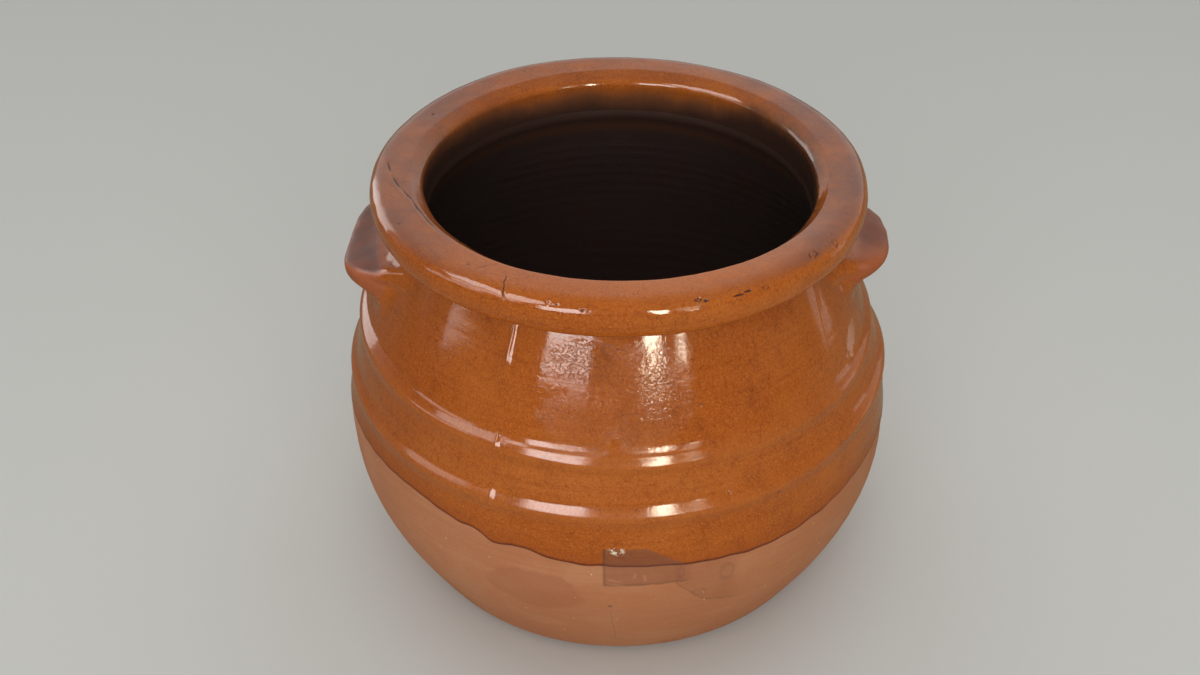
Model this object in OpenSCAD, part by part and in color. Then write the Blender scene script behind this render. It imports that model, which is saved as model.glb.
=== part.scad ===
// Thrown clay cooking pot: a round belly with two raised ridges, a thick rolled rim, two ledge ears
// set on with slip, a glaze dip that stops at the belly and a full glaze inside.
// The origin is the middle of the base on the table, +Z is up and the ears lie on +X and -X.

/* [Pot] */
// Height of the pot from the table to the top of its rim
pot_h = 202; // [180:1:240]
// Width of the belly at its widest, bare clay
belly_d = 253; // [235:1:290]
// Height of the widest part of the belly
belly_z = 73; // [60:1:90]
// Width of the flat base
base_d = 185; // [150:1:200]
// Rounding of the heel, where the wall leaves the base
heel_r = 6; // [2:0.5:12]
// Thickness of the thrown wall
wall = 6; // [5:0.5:8]
// Thickness of the floor
floor_t = 9; // [6:0.5:14]
// Rounding inside, where the floor meets the wall
floor_r = 16; // [6:1:24]

/* [Neck and rim] */
// Clear width of the mouth
mouth_d = 172; // [150:1:176]
// Height of the straight neck under the rim
neck_h = 4; // [3:1:16]
// Width of the rolled rim, from the mouth to its outer side
rim_w = 23.5; // [20:0.5:30]
// Height of the rolled rim
rim_h = 19; // [19:0.5:26]
// Rounding of the rim's upper outer edge
rim_top_r = 8; // [3:0.5:9]
// Rounding of the rim's lower outer edge
rim_low_r = 9.5; // [3:0.5:9.5]
// Rounding of the rim's edge at the mouth
rim_lip_r = 5; // [2:0.5:8]

/* [Ridges] */
// Height of the lower ridge round the belly
low_ridge_z = 105; // [95:1:110]
// Height of the upper ridge round the shoulder
high_ridge_z = 128; // [122:1:135]
// Width of each ridge
ridge_w = 14; // [6:1:16]
// How far each ridge stands out of the wall
ridge_h = 1.8; // [1:0.2:4]

/* [Ears] */
// How far the ears reach out from the wall
ear_reach = 20.5; // [14:0.5:30]
// Width of the left ear along the wall
left_ear_w = 56; // [36:1:70]
// Width of the right ear along the wall
right_ear_w = 46; // [36:1:70]
// Drop from the underside of the rim to the top of the ears
ear_drop = 18; // [8:1:20]
// Thickness of the ears at their tips
ear_tip_t = 7; // [4:0.5:9]
// Thickness of the ears where they meet the wall
ear_root_t = 14; // [10:0.5:20]
// Rounding of the ears' corners, seen from above
ear_corner_r = 8; // [3:0.5:14]
// Thickness of the slip that joins each ear to the wall
slip_t = 1.2; // [0.6:0.1:2.5]
// Width of the slip that shows around each ear
slip_edge_w = 4; // [2:0.5:6]

/* [Glaze] */
// Thickness of the glaze
glaze_t = 0.8; // [0.4:0.1:1.2]
// Height of the lower edge of the outside glaze
glaze_edge_z = 84; // [50:1:95]

/* [Hidden] */

clay_colour = "#a56a45";
slip_colour = "#94593a";
glaze_colour = "#a35a29";
rim_colour = "#a8623a";
hollow_colour = "#4a2c1f";

$fn = 96;
// Steps along the heel, the wall and each rounded edge
heel_steps = 6;
wall_steps = 90;
edge_steps = 8;
// Overrun of every cut past the piece that it cuts
overrun = 1;

belly_r = belly_d / 2;
base_r = base_d / 2;
foot_r = base_r + heel_r;
mouth_r = mouth_d / 2;
rim_r = mouth_r + rim_w;
// Clay inside and outside of the neck
neck_in_r = mouth_r + glaze_t;
neck_r = neck_in_r + wall;
// Top of the neck, where the rim sits, and top of the shoulder below it
neck_z = pot_h - rim_h;
shoulder_z = neck_z - neck_h;

// Clay of the ears: top, underside at the wall and round of the tip
ear_top_z = neck_z - ear_drop;
ear_low_z = ear_top_z - ear_root_t;
ear_tip_r = ear_tip_t / 2;
slip_low_z = ear_low_z - slip_edge_w;
slip_top_z = ear_top_z + slip_edge_w;

function backwards(list) = [for (i = [len(list) - 1:-1:0]) list[i]];

function arc(centre, r, from, to) = [
    for (i = [0:edge_steps])
        let (a = from + (to - from) * i / edge_steps)
            centre + r * [cos(a), sin(a)]
];

// How far a quarter round of radius r is drawn in at height h above its start
function round_inset(h, r) = h < r ? r - sqrt(r * r - (r - h) * (r - h)) : 0;

function ridge(z, middle) =
    abs(z - middle) < ridge_w / 2 ? ridge_h * (1 + cos(360 * (z - middle) / ridge_w)) / 2 : 0;

// Radius of a pot curve that swells from foot to belly and draws in to the neck
function swell(z, start_z, foot, belly, neck) =
    z < belly_z
        ? foot + (belly - foot) * sin(90 * (z - start_z) / (belly_z - start_z))
        : neck + (belly - neck) * cos(90 * min(1, (z - belly_z) / (shoulder_z - belly_z)));

function plain_wall_r(z) = swell(z, 0, foot_r, belly_r, neck_r);

function clay_r(z) =
    plain_wall_r(z) - round_inset(z, heel_r) + ridge(z, low_ridge_z) + ridge(z, high_ridge_z);

// Heights from start to the top of the neck, close together over a first round of radius r
function heights(start, r) = concat(
    [for (i = [0:heel_steps]) start + r * (1 - cos(90 * i / heel_steps))],
    [for (i = [1:wall_steps]) start + r + (shoulder_z - start - r) * i / wall_steps],
    [neck_z]
);

wall_heights = heights(0, heel_r);
wall_table = [for (z = wall_heights) [z, clay_r(z)]];

// Tip of the ears' clay
ear_r = lookup(ear_top_z, wall_table) + ear_reach;

// Points up the outside of the wall between two heights, a distance proud of the clay
function wall_points(low, high, proud) = concat(
    [[lookup(low, wall_table) + proud, low]],
    [for (z = wall_heights) if (z > low && z < high) [lookup(z, wall_table) + proud, z]],
    [[lookup(high, wall_table) + proud, high]]
);

// Points of the hollow, from the middle of the floor to the top of the neck, under a skin
function hollow_points(skin) =
    let (
        start = floor_t + skin,
        foot = plain_wall_r(floor_t) - wall - skin,
        belly = belly_r - wall - skin,
        neck = neck_in_r - skin
    )
    concat(
        [[0, start]],
        [
            for (z = heights(start, floor_r))
                [swell(z, start, foot, belly, neck) - round_inset(z - start, floor_r), z]
        ]
    );

// Points over the rim, from its underside round to the mouth, at a depth below its surface
function rim_points(depth) = concat(
    arc([rim_r - rim_low_r, neck_z + rim_low_r], rim_low_r - depth, -90, 0),
    arc([rim_r - rim_top_r, pot_h - rim_top_r], rim_top_r - depth, 0, 90),
    arc([mouth_r + rim_lip_r, pot_h - rim_lip_r], rim_lip_r - depth, 90, 180)
);

// Points round an ear: up the slip on the wall, out along the top and round the tip
function ear_points(skin) = concat(
    wall_points(ear_low_z - skin, ear_top_z + skin, slip_t),
    arc([ear_r - ear_tip_r, ear_top_z - ear_tip_r], ear_tip_r + skin, 90, -90)
);

// A layer on the outside of the wall
module wall_layer(low, high, inner, outer) {
    rotate_extrude()
        polygon(concat(wall_points(low, high, inner), backwards(wall_points(low, high, outer))));
}

// Outline of an ear from above, grown by a skin, with its round corners at the tip
module ear_outline(w, skin) {
    tip = ear_r + skin;
    half = w / 2 + skin;
    corner = ear_corner_r + skin;
    translate([0, -half])
        square([tip - corner, 2 * half]);
    translate([0, corner - half])
        square([tip, 2 * (half - corner)]);
    for (side = [-1, 1])
        translate([tip - corner, side * (half - corner)])
            circle(corner);
}

// Everything over the height of the ears that lies within an outline
module ear_column() {
    translate([0, 0, slip_low_z - overrun])
        linear_extrude(slip_top_z - slip_low_z + 2 * overrun)
            children();
}

// The patch of wall that an ear's slip covers
module slip_patch(w) {
    translate([0, -w / 2 - slip_edge_w, slip_low_z])
        cube([ear_r, w + 2 * slip_edge_w, slip_top_z - slip_low_z]);
}

module ear(w, skin) {
    intersection() {
        rotate_extrude()
            polygon(ear_points(skin));
        ear_column()
            ear_outline(w, skin);
    }
}

module ear_slip(w) {
    intersection() {
        wall_layer(slip_low_z, slip_top_z, 0, slip_t);
        slip_patch(w);
    }
}

module ear_glaze(w) {
    difference() {
        union() {
            ear(w, glaze_t);
            intersection() {
                wall_layer(slip_low_z, slip_top_z, slip_t, slip_t + glaze_t);
                slip_patch(w);
            }
        }
        ear(w, 0);
    }
}

module clay_body() {
    color(clay_colour)
        rotate_extrude()
            polygon(concat([[0, 0]], wall_points(0, neck_z, 0), backwards(hollow_points(0))));
}

module rolled_rim() {
    color(clay_colour)
        rotate_extrude()
            polygon(concat(
                [[neck_in_r, neck_z], [neck_r, neck_z], [neck_r, neck_z + glaze_t]],
                rim_points(glaze_t)
            ));
}

module left_ear() {
    color(clay_colour)
        rotate(180)
            ear(left_ear_w, 0);
}

module right_ear() {
    color(clay_colour)
        ear(right_ear_w, 0);
}

module left_ear_slip() {
    color(slip_colour)
        rotate(180)
            ear_slip(left_ear_w);
}

module right_ear_slip() {
    color(slip_colour)
        ear_slip(right_ear_w);
}

module outer_glaze() {
    color(glaze_colour)
        difference() {
            wall_layer(glaze_edge_z, neck_z, 0, glaze_t);
            rotate(180)
                slip_patch(left_ear_w);
            slip_patch(right_ear_w);
        }
}

module inner_glaze() {
    color(hollow_colour)
        rotate_extrude()
            polygon(concat(hollow_points(0), backwards(hollow_points(glaze_t))));
}

module rim_glaze() {
    color(rim_colour)
        rotate_extrude()
            polygon(concat(
                [[neck_r, neck_z]],
                rim_points(0),
                [[mouth_r, neck_z], [neck_in_r, neck_z]],
                backwards(rim_points(glaze_t)),
                [[neck_r, neck_z + glaze_t]]
            ));
}

module left_ear_glaze() {
    color(glaze_colour)
        rotate(180)
            ear_glaze(left_ear_w);
}

module right_ear_glaze() {
    color(glaze_colour)
        ear_glaze(right_ear_w);
}

clay_body();
rolled_rim();
left_ear();
right_ear();
left_ear_slip();
right_ear_slip();
outer_glaze();
inner_glaze();
rim_glaze();
left_ear_glaze();
right_ear_glaze();
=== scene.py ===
import math

import bmesh
import bpy
import numpy as np
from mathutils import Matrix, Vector


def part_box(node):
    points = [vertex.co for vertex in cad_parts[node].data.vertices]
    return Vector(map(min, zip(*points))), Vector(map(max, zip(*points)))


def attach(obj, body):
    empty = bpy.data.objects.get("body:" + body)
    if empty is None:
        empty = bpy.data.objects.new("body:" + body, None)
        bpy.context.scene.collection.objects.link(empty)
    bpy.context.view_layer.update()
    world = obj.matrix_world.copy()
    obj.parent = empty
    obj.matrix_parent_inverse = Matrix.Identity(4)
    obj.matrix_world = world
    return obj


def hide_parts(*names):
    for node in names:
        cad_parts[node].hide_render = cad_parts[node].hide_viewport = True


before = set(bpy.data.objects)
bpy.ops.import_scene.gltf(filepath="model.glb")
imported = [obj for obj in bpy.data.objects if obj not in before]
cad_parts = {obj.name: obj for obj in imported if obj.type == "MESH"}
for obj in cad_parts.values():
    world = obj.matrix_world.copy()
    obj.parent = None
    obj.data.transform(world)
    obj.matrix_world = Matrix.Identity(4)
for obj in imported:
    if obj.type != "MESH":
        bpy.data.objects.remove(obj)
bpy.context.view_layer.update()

# Lengths are millimetres until a mesh is made, and metres in the finishes and the studio. A turn is an
# angle round the pot in degrees, 0 at the front (-Y) and growing towards +X: the ears are at -90 and 90.
metre = 0.001
degree = math.radians(1)
fullTurn = 2 * math.pi
farAbove = 50.0  # height over the dip line of pieces that have none


# Small tools

def tone(red, green, blue):  # a colour read off in 0-255, as linear light
    def straight(c):
        c = c / 255
        return c / 12.92 if c <= 0.04045 else ((c + 0.055) / 1.055) ** 2.4
    return (straight(red), straight(green), straight(blue), 1.0)


def smooth(value, start, end):  # 0 before start, 1 after end, eased between them
    t = np.clip((value - start) / (end - start), 0, 1)
    return t * t * (3 - 2 * t)


def bell(value, middle, width):
    return np.exp(-((value - middle) / width) ** 2)


def turnFrom(turn, middle):  # the shorter way round the pot from middle to turn
    return (turn - middle + 180) % 360 - 180


def sideways(turn, middle, radius):  # the same as a length on the wall
    return (turn - middle) * degree * radius


def roundCurve(points, turn, blur):  # a line through (turn, value) points, its corners blurred
    turns, values = np.array(points).T
    nudges = np.linspace(-blur, blur, 5)
    return sum(np.interp(turnFrom(turn + nudge, 0), turns, values) for nudge in nudges) / len(nudges)


def ripple(turn, height, seed, around, upright, waves=9):
    # soft unevenness that closes on itself round the pot: about -1 to 1, wavelengths from upright up
    dice = np.random.default_rng(seed)
    total = 0
    for _ in range(waves):
        total = total + np.cos(
            dice.integers(1, around + 1) * np.radians(turn)
            + dice.uniform(-2, 2) * math.pi / upright * height
            + dice.uniform(0, fullTurn)
        )
    return total / math.sqrt(waves * 1.5)


def softMax(a, b, soft):  # cuts one form by another and rounds the edge
    h = np.clip(soft - np.abs(a - b), 0, None) / soft
    return np.maximum(a, b) + h * h * soft / 4


def softMin(a, b, soft):  # joins two forms with a fillet
    return -softMax(-a, -b, soft)


def spread(start, end, step, fine=()):
    # stops from start to end a step apart, closer together at each (stop, width, step) of fine
    probe = np.linspace(start, end, 20001)
    density = np.full_like(probe, 1 / step)
    for stop, width, close in fine:
        density = np.maximum(density, bell(probe, stop, width) / close)
    counted = np.concatenate([[0], np.cumsum((density[1:] + density[:-1]) / 2 * np.diff(probe))])
    return np.interp(np.linspace(0, counted[-1], math.ceil(counted[-1]) + 1), counted, probe)


def roundTurns(step, fine=()):  # stops once round the pot
    return spread(-180, 180, step, fine)[:-1]


def place(turn, radius, height):
    turn, radius, height = np.broadcast_arrays(np.radians(turn), radius, height)
    return np.stack([radius * np.sin(turn), -radius * np.cos(turn), height], -1)


def linkNew(name, data):
    piece = bpy.data.objects.new(name, data)
    bpy.context.scene.collection.objects.link(piece)
    return piece


def gridQuads(index):
    return np.stack([index[:-1, :-1], index[:-1, 1:], index[1:, 1:], index[1:, :-1]], -1).reshape(-1, 4)


def makePiece(name, spots, faces, shape, notes):
    # a closed piece; notes are values on a grid of this shape, kept at the points for the finish, and
    # kept again where the grid has a second sheet
    mesh = bpy.data.meshes.new(name)
    mesh.from_pydata((spots * metre).tolist(), [], faces)
    for label, values in (notes or {}).items():
        kept = np.resize(np.broadcast_to(values, shape), len(spots)).astype(np.float32)
        mesh.attributes.new(label, "FLOAT", "POINT").data.foreach_set("value", kept)
    skin = bmesh.new()
    skin.from_mesh(mesh)
    bmesh.ops.recalc_face_normals(skin, faces=skin.faces)
    skin.to_mesh(mesh)
    skin.free()
    mesh.polygons.foreach_set("use_smooth", [True] * len(mesh.polygons))
    mesh.set_sharp_from_angle(angle=math.radians(55))
    return linkNew(name, mesh)


def latticeMesh(name, points, loop=False, capped=False, notes=None):
    # a skin through rows of points round the pot: loop joins the last row to the first, and capped
    # closes both end rows
    grid = index = np.arange(points[..., 0].size).reshape(points.shape[:2])
    if loop:
        index = np.vstack([index, index[:1]])
    index = np.hstack([index, index[:, :1]])
    spots, faces = points.reshape(-1, 3), gridQuads(index).tolist()
    if capped:
        for hub, row in enumerate((0, -1), len(spots)):
            ring = index[row].tolist()
            pairs = zip(ring, ring[1:]) if row else zip(ring[1:], ring)
            faces += [(a, b, hub) for a, b in pairs]
        spots = np.vstack([spots, points[0].mean(0), points[-1].mean(0)])
    return makePiece(name, spots, faces, grid.shape, notes)


def shellMesh(name, outer, inner, notes=None):
    # two sheets of the same grid, joined all round their border
    index = np.arange(outer[..., 0].size).reshape(outer.shape[:2])
    quads, count = gridQuads(index), index.size
    border = np.concatenate([index[0, :-1], index[:-1, -1], index[-1, :0:-1], index[:0:-1, 0]])
    following = np.roll(border, -1)
    strip = np.stack([border, following, following + count, border + count], -1)
    faces = np.vstack([quads, quads[:, ::-1] + count, strip]).tolist()
    return makePiece(name, np.vstack([outer, inner]).reshape(-1, 3), faces, index.shape, notes)


def settle(piece, slot, finish, *nodes):  # gives a piece its finish and its place in the frame
    piece.data.materials.append(finish)
    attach(piece, "root")
    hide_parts(*nodes)
    spots = [spot.co / metre for spot in piece.data.vertices]
    sizes = [tuple(round(end(spot[axis] for spot in spots), 1) for end in (min, max)) for axis in range(3)]
    print("made", piece.name, len(piece.data.polygons), "faces, across", *sizes)
    return piece


# The pot's curves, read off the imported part

def readRings(node, facing):
    # height and radius of a thrown node's rings, on its outside (facing 1) or inside (facing -1)
    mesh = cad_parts[node].data
    spots = np.empty(len(mesh.vertices) * 3)
    leans = np.empty(len(mesh.vertices) * 3)
    mesh.vertices.foreach_get("co", spots)
    mesh.vertex_normals.foreach_get("vector", leans)
    spots, leans = spots.reshape(-1, 3) / metre, leans.reshape(-1, 3)
    radius = np.hypot(spots[:, 0], spots[:, 1])
    outward = (leans[:, 0] * spots[:, 0] + leans[:, 1] * spots[:, 1]) / np.maximum(radius, 1)
    keep = outward * facing > 0.05
    heights, ring = np.unique(np.round(spots[keep, 2], 2), return_inverse=True)
    radii = np.full(len(heights), -np.inf)
    np.maximum.at(radii, ring, radius[keep] * facing)
    return heights, radii * facing


def curveThrough(heights, radii):
    # a smooth curve through the rings, as a function of height
    slope = np.gradient(radii, heights)

    def radiusAt(height):
        height = np.clip(height, heights[0], heights[-1])
        i = np.clip(np.searchsorted(heights, height) - 1, 0, len(heights) - 2)
        gap = heights[i + 1] - heights[i]
        t = (height - heights[i]) / gap
        return (
            radii[i] * (1 + 2 * t) * (1 - t) ** 2 + radii[i + 1] * t * t * (3 - 2 * t)
            + gap * slope[i] * t * (1 - t) ** 2 - gap * slope[i + 1] * t * t * (1 - t)
        )
    return radiusAt


clayCurve = curveThrough(*readRings("clay_body", 1))
hollowHeights, hollowRadii = readRings("inner_glaze", -1)
hollowCurve = curveThrough(hollowHeights, hollowRadii)

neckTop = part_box("clay_body")[1].z / metre
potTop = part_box("rim_glaze")[1].z / metre
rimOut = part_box("rim_glaze")[1].x / metre
floorTop = hollowHeights[0]
mouthRadius = hollowRadii[-1]
coatThick = (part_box("outer_glaze")[1].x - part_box("clay_body")[1].x) / metre
print("read the pot's curves:", round(potTop, 1), "mm high, rim", round(2 * rimOut, 1), "mm wide")


# The thrown wall

wallLook = {
    "outOfRound": 0.35,  # how far the pot is from a true round
    "handDents": 0.16,  # depth of the soft dents left by the hands
    "ringDepth": 0.045,  # depth of the throwing rings
    "ringPitch": 6.2,  # climb of the rings for each turn
    "ringsSmoothed": (132, 150, 0.75),  # heights between which the rings fade, and by how much
    "ridgeHeights": (105, 128),
    # turn and how much higher each ridge lies there: read off at the front, made up at the back
    "ridgeClimb": (
        ((-180, 1), (-100, 3), (-63, 1.5), (-40, 0), (40, 0), (58, 4), (70, 6.5), (85, 7), (110, 4), (180, 1)),
        (
            (-180, 2), (-100, 7), (-63, 4), (-41, 1.5), (-15, 0.5), (0, 0), (38, -0.5), (50, -1.5),
            (60, -3), (72, -2.5), (85, 0), (100, 2), (180, 2),
        ),
    ),
    "climbBlur": 12,  # turns over which the climb is eased
    "ridgeWander": 0.3,  # small unevenness on top of that
    "ridgeReach": 12,  # how far from a ridge the wall climbs with it
    "nip": (0.28, 0.1),  # how much each ridge's crest is pinched up
    "nipShape": (0.3, 2.2),  # the pinch's height over the crest and its width
    "groove": (0.02, 0.15),  # depth of the fine groove along each ridge's upper side
    "grooveShape": (1.6, 2.6, 3.6),  # its height over the crest, width and wavelength
    "grooveTurns": (2, 20),  # turn and width of the stretch that has it
    "lean": 1.0,  # how far the shoulder leans to the left
    "leanShape": (145, 30),  # height and width of the part that leans
    # turn and width of a stretch where the wall swells, and its heights, widths and depths
    "swells": (
        (-98, 46, ((149, 20, 0.7), (116, 16, 1.3), (88, 11, 1.7), (68, 24, 1.4))),
        (100, 30, ((116, 13, -0.4),)),
    ),
}


def levelled(turn, height):
    # the height that a place would have if both ridges ran level
    look = wallLook
    shift = 0
    for i, (ridge, climbs) in enumerate(zip(look["ridgeHeights"], look["ridgeClimb"])):
        climb = roundCurve(climbs, turn, look["climbBlur"])
        wander = look["ridgeWander"] * ripple(turn, 0, 31 + i, 7, 100)
        shift = shift - (climb + wander) * bell(height, ridge + climb / 2, look["ridgeReach"])
    return height + shift


def wallRadius(turn, height):
    look = wallLook
    level = levelled(turn, height)
    radius = clayCurve(level)
    up, width, wave = look["grooveShape"]
    for ridge, nip, groove in zip(look["ridgeHeights"], look["nip"], look["groove"]):
        over = level - ridge
        radius += nip * bell(over, *look["nipShape"])
        grooved = bell(turn, *look["grooveTurns"]) * bell(over, up, width)
        radius -= groove * grooved * np.cos(fullTurn * (over - up) / wave)
    for swellTurn, swellWide, swells in look["swells"]:
        share = bell(turnFrom(turn, swellTurn), 0, swellWide)
        for middle, high, most in swells:
            radius += most * share * bell(height, middle, high)
    a = np.radians(turn)
    radius -= look["lean"] * np.sin(a) * bell(height, *look["leanShape"])
    oval = 0.6 * np.cos(2 * a + 0.5) + 0.4 * np.cos(3 * a + 2)
    radius += look["outOfRound"] * oval * smooth(height, 0, 60)
    radius += look["handDents"] * ripple(turn, height, 11, 6, 45) * smooth(height, 0, 25)
    climb = height / look["ringPitch"] - turn / 360
    rings = np.sin(fullTurn * climb) + 0.5 * np.sin(fullTurn * 2.63 * climb + 1)
    fade = 0.65 + 0.45 * ripple(turn, height, 12, 5, 30)
    start, end, share = look["ringsSmoothed"]
    calm = 1 - share * smooth(height, start, end)
    return radius + look["ringDepth"] * rings * fade * smooth(height, 3, 12) * calm


# Outside glaze: dipped down to the belly, with a rolled lower edge

dipLook = {
    # turn and height of the dip line: read off at the front, made up at the back
    "line": (
        (-180, 86), (-150, 83), (-120, 87), (-90, 88), (-62, 90.5), (-46, 91), (-38, 89.2), (-33, 87.4),
        (-29.6, 87.2), (-27, 85.8), (-26, 83.2), (-24.6, 82.4), (-23.2, 82.9), (-21, 85.2), (-18.2, 84.4),
        (-15, 82.4), (-10.8, 80.9), (-4, 80.2), (2, 79.7), (8, 79), (16, 78), (28, 76.6), (36, 77.2),
        (44, 78.8), (62, 82.2), (80, 82), (105, 86), (135, 84.5), (160, 87.5), (180, 86),
    ),
    "lineBlur": 0.8,  # turns over which its corners are eased
    "ragged": 0.3,  # small unevenness of the line
    "edgeRound": 1.1,  # height over which the edge rounds off
    "beadProud": 0.35,  # extra thickness where the glaze has gathered above its edge
    "beadShape": (1.5, 1.5),  # the bead's height over the edge and its width
    "coatDrift": 0.07,  # how much the coat's thickness varies
    "crestWide": 4.0,  # half width of the paler glaze over the ridges
    "creaseRound": 2.6,  # fillet of glaze between the neck and the rim
    "underRim": (0.6, 1.2),  # how far the coat runs on up and out under the rim
    "buried": 0.3,  # how far its back lies within the clay
    # mesh rows: heights over the edge, then level rows from this height up, a step apart
    "edgeRows": (0, 0.04, 0.12, 0.25, 0.42, 0.65, 0.9, 1.2, 1.6, 2.1, 2.8, 3.6),
    "levelFrom": 95.5,
    "rowStep": 1.1,
    "turnStep": 0.6,
    "fineTurns": ((-24.5, 6, 0.25), (-84, 22, 0.33), (84, 22, 0.33)),  # at the tear and beside the ears
}

runLook = {
    # runs of glaze down the wall: top and low turn, top and low height, width, how proud
    "runs": (
        (-26.6, -25.2, 180, 104, 0.9, 0.3),
        (60.2, 56.6, 176, 134, 1.3, 0.28),
        (148.0, 149.5, 178, 120, 1.5, 0.28),
        (-128.0, -126.5, 178, 138, 1.3, 0.25),
    ),
    "ridgeBump": (3.2, 2.6, 0.6),  # where a run crosses a ridge: height over the crest, width, extra
    "drop": (-26.6, 169.5, 1.35, 9.5, 0.62),  # a long drop at the top of the first run
    "radii": (105, 98),  # of the wall where the widths of the runs and of the drop are measured
}

pitLook = {
    # turn, height, radius and depth of pits burst open in the glaze of the wall
    "wall": (
        (22.2, 110.5, 0.75, 0.5), (18.0, 148.3, 0.5, 0.35), (33.0, 102.8, 0.6, 0.4),
        (-60.0, 118.0, 0.6, 0.4), (95.0, 120.0, 0.7, 0.4), (170.0, 140.0, 0.8, 0.5), (-150.0, 98.0, 0.6, 0.4),
    ),
    # turn, distance up over the rim's section, half width, half height, depth and how far healed
    "rim": (
        (-15.0, 22.8, 0.9, 0.7, 0.3, 0.9), (-13.0, 22.5, 0.5, 0.4, 0.3, 0), (-7.5, 21.3, 1.0, 0.6, 0.4, 0.2),
        (16.9, 23.4, 1.6, 0.9, 0.4, 0.5), (18.5, 22.6, 1.2, 0.6, 0.4, 0.1), (25.9, 21.8, 2.6, 0.4, 0.4, 0),
        (28.2, 22.3, 1.8, 0.5, 0.35, 0.1), (32.6, 21.3, 1.7, 1.0, 0.35, 0.9), (48.0, 24.5, 2.6, 1.7, 0.35, 0.9),
        (55.8, 22.6, 1.9, 1.7, 0.25, 1), (-37.0, 30.5, 0.5, 0.4, 0.25, 0), (-62.0, 27.0, 0.6, 0.5, 0.3, 0),
        (140.0, 25.0, 1.4, 1.0, 0.35, 0.8), (-118.0, 33.0, 0.8, 0.6, 0.3, 0), (178.0, 24.0, 1.0, 0.8, 0.35, 0.5),
    ),
    "onShow": (3, 10),  # how many of each are in full view and get a finer mesh
}


def dipHeight(turn):
    line = roundCurve(dipLook["line"], turn, dipLook["lineBlur"])
    return line + dipLook["ragged"] * ripple(turn, 0, 21, 70, 100, 14)


def runShape(aside, width):  # steep on the left, sloping off to the right
    return smooth(aside, -1.3 * width, -0.6 * width) * smooth(1.7 * width - aside, 0, 2.9 * width)


def runProud(turn, height):
    proud = 0
    bumpUp, bumpHigh, bumpProud = runLook["ridgeBump"]
    wallWide, dropWallWide = runLook["radii"]
    for topTurn, lowTurn, top, low, width, most in runLook["runs"]:
        down = (top - height) / (top - low)
        path = topTurn + (lowTurn - topTurn) * np.clip(down, 0, 1) + 0.35 * np.sin(height / 9)
        fade = (1 - 0.72 * smooth(down, 0.12, 0.45)) * smooth(height, low - 3, low + 1)
        crossed = [ridge for ridge in wallLook["ridgeHeights"] if low <= ridge]
        swell = sum(bumpProud * bell(height, ridge + bumpUp, bumpHigh) for ridge in crossed)
        shape = runShape(sideways(turn, path, wallWide), width * (0.8 + 0.4 * down))
        proud += (most * fade + swell) * shape
    dropTurn, dropHeight, dropWide, dropHigh, dropProud = runLook["drop"]
    aside = sideways(turn, dropTurn + 0.02 * (dropHeight - height), dropWallWide)
    ends = 1 - smooth(np.abs(height - dropHeight) / dropHigh, 0.8, 1.2)
    return proud + dropProud * runShape(aside, dropWide) * ends


def pit(aside, along, halfWide, halfHigh, depth, healed):
    # relief and darkness of a burst blister: a plain hole, or where healed a ring round a low dome
    away = np.hypot(aside / halfWide, along / halfHigh)
    around = np.arctan2(along, aside)
    ragged = 0.1 * np.sin(3 * around + 9 * halfWide) + 0.09 * np.sin(5 * around + 4 * halfHigh)
    away = away * (1 + ragged + 0.07 * np.sin(8 * around))
    hole = (1 - healed) * np.exp(-away ** 4) + healed * bell(away, 0.78, 0.2)
    dark = hole * (1 - 0.5 * healed * (1 + 0.6 * np.sin(2 * around + 7 * halfWide)))
    return depth * (0.3 * bell(away, 1.2, 0.25) - hole), dark


def coatOver(turn, height):  # thickness of the outside glaze
    return coatThick + dipLook["coatDrift"] * ripple(turn, height, 22, 9, 25) + runProud(turn, height)


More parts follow.
